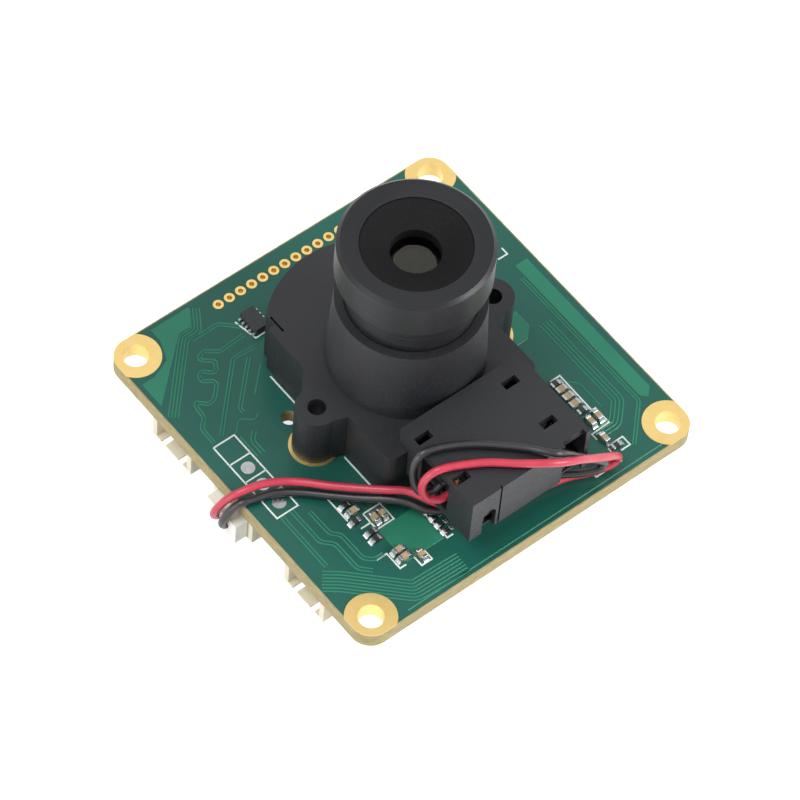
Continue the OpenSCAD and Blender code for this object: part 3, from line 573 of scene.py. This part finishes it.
class CAMERA_OT_finishes(bpy.types.Operator):
    """Gives every carried part its finish"""

    bl_idname = "camera_module.finishes"
    bl_label = "Finishes"

    def execute(self, context):
        look = context.scene.module_look
        dress(solder_mask(look), "circuit_board")
        gold = immersion_gold(look)
        dress(gold, "corner_pads", "header_pads", "ear_pads")
        tin = tinned()
        dress(tin, "test_pads", "driver_chip_pins", "memory_chip_pins", "coil_terminals")
        dress(moulded_black("moulded_black_nylon", look.holder_dark, look.holder_light),
              "lens_holder", "holder_base", "drive_cover")
        dress(moulded_black("moulded_black_acetal", "#1a1b1e", "#222428", (0.35, 0.5), 0.005),
              "drive_frame", "filter_slider", "coil_bobbin")
        dress(anodised_black(), "lens_barrel", "front_spacer", "rear_spacer", "rear_retainer")
        dress(grained("blackened_retainer", "#0b0b0d", "#121214", 0.16, 2.5, (0.6, 0.8), 0.004,
                      Specular_IOR_Level=0.15), "front_retainer", "aperture_stop")
        dress(optical_glass("coated_front_glass", "#8b9086", "#e8e4da"), "front_element")
        dress(optical_glass("coated_flint_glass", "#a9b08c", "#ffc4b8"), "middle_element", "rear_element")
        dress(optical_glass("infrared_filter_glass", "#8fd0c8", "#ffc0c8"), "infrared_filter")
        dress(optical_glass("clear_filter_glass", "#e8f2f0", "#c8b8ff"), "clear_filter", "sensor_glass")
        dress(grained("zinc_plated_steel", "#a9adb1", "#c9cdd1", 0.2, 1.0, (0.25, 0.4), 0.004, Metallic=1.0),
              "holder_screws", "rotor_axle", "yoke")
        dress(grained("nickelled_magnet", "#77787c", "#8e9094", 0.2, 1.0, (0.3, 0.5), 0.006, Metallic=1.0),
              "rotor_magnet")
        dress(grained("enamelled_copper_wire", "#9a5524", "#c07838", 0.08, 0.8, (0.25, 0.4), 0.02,
                      stretch=(1, 8, 1), Metallic=1.0), "coil_winding")
        white = grained("moulded_white_nylon", "#ece9e1", "#f8f5ee", 0.2, 2.0, (0.4, 0.55), 0.006,
                        Subsurface_Weight=0.1, Subsurface_Scale=0.0008)
        dress(white, "lead_plug", "drive_arm")
        cream = grained("moulded_cream_nylon", look.socket_dark, look.socket_light, 0.2, 2.0, (0.4, 0.6),
                        0.006, Subsurface_Weight=0.1, Subsurface_Scale=0.0008)
        dress(cream, "upper_socket", "middle_socket", "lower_socket")
        dress(immersion_gold(look), "socket_contacts", "plug_terminals")
        dress(grained("moulded_epoxy_chip", "#232427", "#303236", 0.1, 0.9, (0.55, 0.75), 0.006),
              "driver_chip", "image_chip", "memory_chip")
        dress(grained("drawn_steel_can", "#a8acb0", "#c4c8cc", 0.3, 1.0, (0.2, 0.35), 0.003, Metallic=1.0),
              "crystal")
        dress(grained("sintered_ferrite", "#2e2e31", "#444448", 0.08, 0.8, (0.6, 0.8), 0.012), "inductor")
        dress(grained("silicon_and_ceramic", "#2b2936", "#38344a", 0.3, 1.5, (0.25, 0.4), 0.002),
              "image_sensor")
        dress(grained("fired_ceramic", "#9d8a6c", "#bfa985", 0.08, 0.6, (0.4, 0.6), 0.005),
              "ceramic_capacitors")
        dress(grained("resistor_overcoat", "#1e1f22", "#2c2d31", 0.06, 0.5, (0.35, 0.5), 0.004),
              "chip_resistors")
        return {"FINISHED"}


class CAMERA_OT_board_print(bpy.types.Operator):
    """Lays the masked copper tracks and the printed lines on the board"""

    bl_idname = "camera_module.board_print"
    bl_label = "Tracks and Print"

    def execute(self, context):
        look = context.scene.module_look
        parts = []
        for width, pitch, count, points in TRACKS:
            line = softened(points, TRACK_BEND)
            for i in range(count):
                parts.append(strip(shifted(line, (i - (count - 1) / 2) * pitch), width, look.copper_height))
        build("masked_tracks", parts, masked_copper(look))
        areas = [plate(outline, look.copper_height * 0.8) for outline in AREAS]
        build("masked_copper_areas", areas, masked_copper(look))
        lines = [strip(points, PRINT_WIDTH, look.ink_height) for points in LINES]
        build("printed_lines", lines, printed_ink())
        return {"FINISHED"}


class CAMERA_OT_chip_ends(bpy.types.Operator):
    """Adds the metal ends and the solder of the small chips"""

    bl_idname = "camera_module.chip_ends"
    bl_label = "Chip Ends"

    def execute(self, context):
        ends, joints = [], []
        for low, high in islands("ceramic_capacitors") + islands("chip_resistors"):
            size = high - low
            axis = 0 if size[0] > size[1] else 1
            for side in (-1, 1):
                a, b = low - END_PROUD, high + END_PROUD
                a[2] = 0.02
                if side < 0:
                    b[axis] = low[axis] + END_SHARE * size[axis]
                else:
                    a[axis] = high[axis] - END_SHARE * size[axis]
                ends.append(rounded_block(a, b))
                joints.append(fillet(low, high, axis, side))
        build("chip_ends", ends, tinned())
        build("solder_joints", joints, tinned())
        return {"FINISHED"}


def fillet(low, high, axis, side, reach=SOLDER_REACH, steps=6):
    """Solder at a chip's end: its height falls as the square of the way out, over the chip's width."""
    s = np.linspace(0, 1, steps)
    height = (high[2] - 0.08) * (1 - s) ** 2 + END_PROUD
    end = high[axis] if side > 0 else low[axis]
    out = end + side * (END_PROUD + reach * s)
    other = 1 - axis
    wide = np.array([low[other] - 0.02, high[other] + 0.02])
    top = np.zeros((steps, 2, 3))
    top[:, :, axis] = out[:, None]
    top[:, :, other] = wide[None, :]
    top[:, :, 2] = height[:, None]
    foot = top[::-1].copy()
    foot[:, :, 2] = SUNK
    rows = np.concatenate([top, foot, top[:1]])
    faces = grid_faces(len(rows), 2, False).tolist()
    ring = list(range(0, 2 * len(rows) - 2, 2))
    return rows.reshape(-1, 3), faces + [ring, [i + 1 for i in ring]]


class CAMERA_PT_panel(bpy.types.Panel):
    """Lists the steps and the sizes"""

    bl_label = "Camera Module"
    bl_space_type = "VIEW_3D"
    bl_region_type = "UI"
    bl_category = "Camera Module"

    def draw(self, context):
        look = context.scene.module_look
        for name in ModuleLook.__annotations__:
            self.layout.prop(look, name)
        for step in STEPS:
            self.layout.operator(step.bl_idname)


# ---- lines on the board, listed point by point, in mm ----

# width, pitch, how many side by side, points
TRACKS = [
    (0.14, 0.3, 4, [(-18.3, 9.7), (-12.3, 16.0), (-10.9, 16.0), (-9.6, 18.0)]),
    (0.14, 0.3, 2, [(-11.9, 15.35), (-8.9, 15.4), (-7.5, 14.0)]),
    (0.14, 0.3, 2, [(-7.7, 13.1), (-10.6, 12.9), (-11.6, 13.75), (-12.0, 13.75), (-12.65, 13.4),
                    (-12.2, 12.8), (-11.5, 12.45), (-12.1, 11.45), (-12.5, 11.45), (-13.2, 12.2),
                    (-13.75, 11.9), (-13.85, 11.3), (-13.0, 10.75), (-12.95, 10.3), (-14.1, 9.1),
                    (-14.9, 9.0), (-15.65, 9.85), (-15.95, 9.4), (-16.0, 8.1), (-16.95, 7.3),
                    (-17.0, 5.4)]),
    (0.14, 0.3, 2, [(-16.0, 5.65), (-10.1, 11.6), (-7.9, 11.5)]),
    (0.14, 0.3, 2, [(-12.85, 6.5), (-12.9, 6.95), (-8.9, 10.85)]),
    (0.14, 0.3, 1, [(-11.0, 7.3), (-8.5, 9.65)]),
    (0.14, 0.3, 1, [(-14.75, 5.1), (-13.85, 6.0), (-13.4, 6.0), (-12.65, 5.3), (-12.3, 5.3),
                    (-11.9, 5.65)]),
    (0.14, 0.35, 2, [(-14.1, 2.0), (-14.1, 3.6), (-13.3, 4.3)]),
    (0.14, 0.3, 1, [(-14.7, 4.6), (-14.7, 2.0)]),
    (0.14, 0.33, 2, [(-16.92, -4.3), (-16.92, -10.65)]),
    (0.14, 0.33, 2, [(-15.82, -4.3), (-15.82, -8.3), (-14.87, -9.25), (-14.87, -12.4),
                     (-13.9, -13.4)]),
    (0.14, 0.33, 2, [(-14.6, -5.3), (-14.56, -8.15), (-13.85, -8.85), (-13.85, -11.85),
                     (-13.1, -12.6), (-12.1, -12.6)]),
    (0.15, 0.34, 7, [(-18.2, -11.6), (-16.9, -12.6), (-12.3, -17.2), (-7.0, -17.4)]),
    (0.15, 0.3, 1, [(-14.0, -18.4), (17.0, -18.4)]),
    (0.15, 0.36, 4, [(14.95, -2.0), (14.95, -12.4), (13.2, -14.15), (11.6, -14.15)]),
    (0.15, 0.27, 2, [(16.43, 3.0), (16.43, -13.6), (13.0, -17.0)]),
    (0.14, 0.3, 1, [(12.6, -8.3), (13.3, -8.9), (13.3, -12.1)]),
]
AREAS = [
    [(-18.4, 11.3), (-12.4, 16.6), (-11.1, 16.6), (-9.9, 18.45), (-14.2, 18.45), (-14.2, 17.0),
     (-15.0, 15.0), (-17.0, 14.2), (-18.4, 14.2)],
    [(-11.0, -10.4), (-6.8, -10.4), (-6.8, -14.5), (-11.0, -14.5)],
    [(16.84, 4.4), (18.2, 4.4), (18.2, -13.0), (17.4, -13.8), (16.84, -13.2)],
    [(8.5, 0.6), (13.7, 0.6), (13.7, -1.4), (12.6, -2.5), (8.5, -2.6)],
]
LINES = [
    [(-8.6, 8.1), (-8.6, 4.3)],
    [(-8.6, -2.6), (-8.6, -6.5)],
    [(-17.37, 5.05), (-15.04, 5.05), (-15.04, -4.16), (-17.37, -4.16), (-17.37, 5.05)],
    [(-17.37, 2.72), (-15.04, 2.72)],
    [(-17.37, 0.45), (-15.04, 0.45)],
    [(-17.37, -1.77), (-15.04, -1.77)],
    [(-12.54, -4.55), (-12.54, -8.1)],
    [(-12.1, -9.4), (-11.0, -9.4)],
    [(-11.0, -8.3), (-9.1, -8.3), (-9.1, -10.3), (-11.0, -10.3), (-11.0, -8.3)],
    [(-13.0, -12.76), (-11.87, -12.76), (-11.87, -14.65), (-11.2, -14.65)],
    [(-10.15, -13.65), (-9.0, -13.65), (-9.0, -15.55), (-10.15, -15.55), (-10.15, -13.65)],
    [(-6.65, -10.9), (-6.55, -14.65), (-5.9, -14.65)],
    [(11.26, -7.3), (12.4, -7.3), (12.35, -11.9), (12.76, -11.9), (12.76, -13.8), (10.7, -13.9),
     (10.7, -14.6)],
    [(11.0, -15.7), (12.76, -15.7), (12.76, -16.75), (11.7, -16.75)],
    [(8.1, -16.9), (8.1, -17.6), (11.0, -17.6), (11.0, -16.9)],
    [(16.0, 5.9), (17.1, 5.9), (17.1, 6.7)],
    [(-7.56, 14.66), (-7.1, 12.16), (-5.7, 12.2)],
]

STEPS = (CAMERA_OT_stage, CAMERA_OT_leads, CAMERA_OT_finishes, CAMERA_OT_board_print, CAMERA_OT_chip_ends)
CLASSES = (ModuleLook, *STEPS, CAMERA_PT_panel)


def register():
    for item in CLASSES:
        bpy.utils.register_class(item)
    bpy.types.Scene.module_look = PointerProperty(type=ModuleLook)


def unregister():
    del bpy.types.Scene.module_look
    for item in reversed(CLASSES):
        bpy.utils.unregister_class(item)


def main():
    """Makes everything in order."""
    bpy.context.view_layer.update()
    register()
    bpy.ops.camera_module.stage()
    bpy.ops.camera_module.leads()
    bpy.ops.camera_module.finishes()
    bpy.ops.camera_module.board_print()
    bpy.ops.camera_module.chip_ends()


if __name__ == "__main__":
    main()
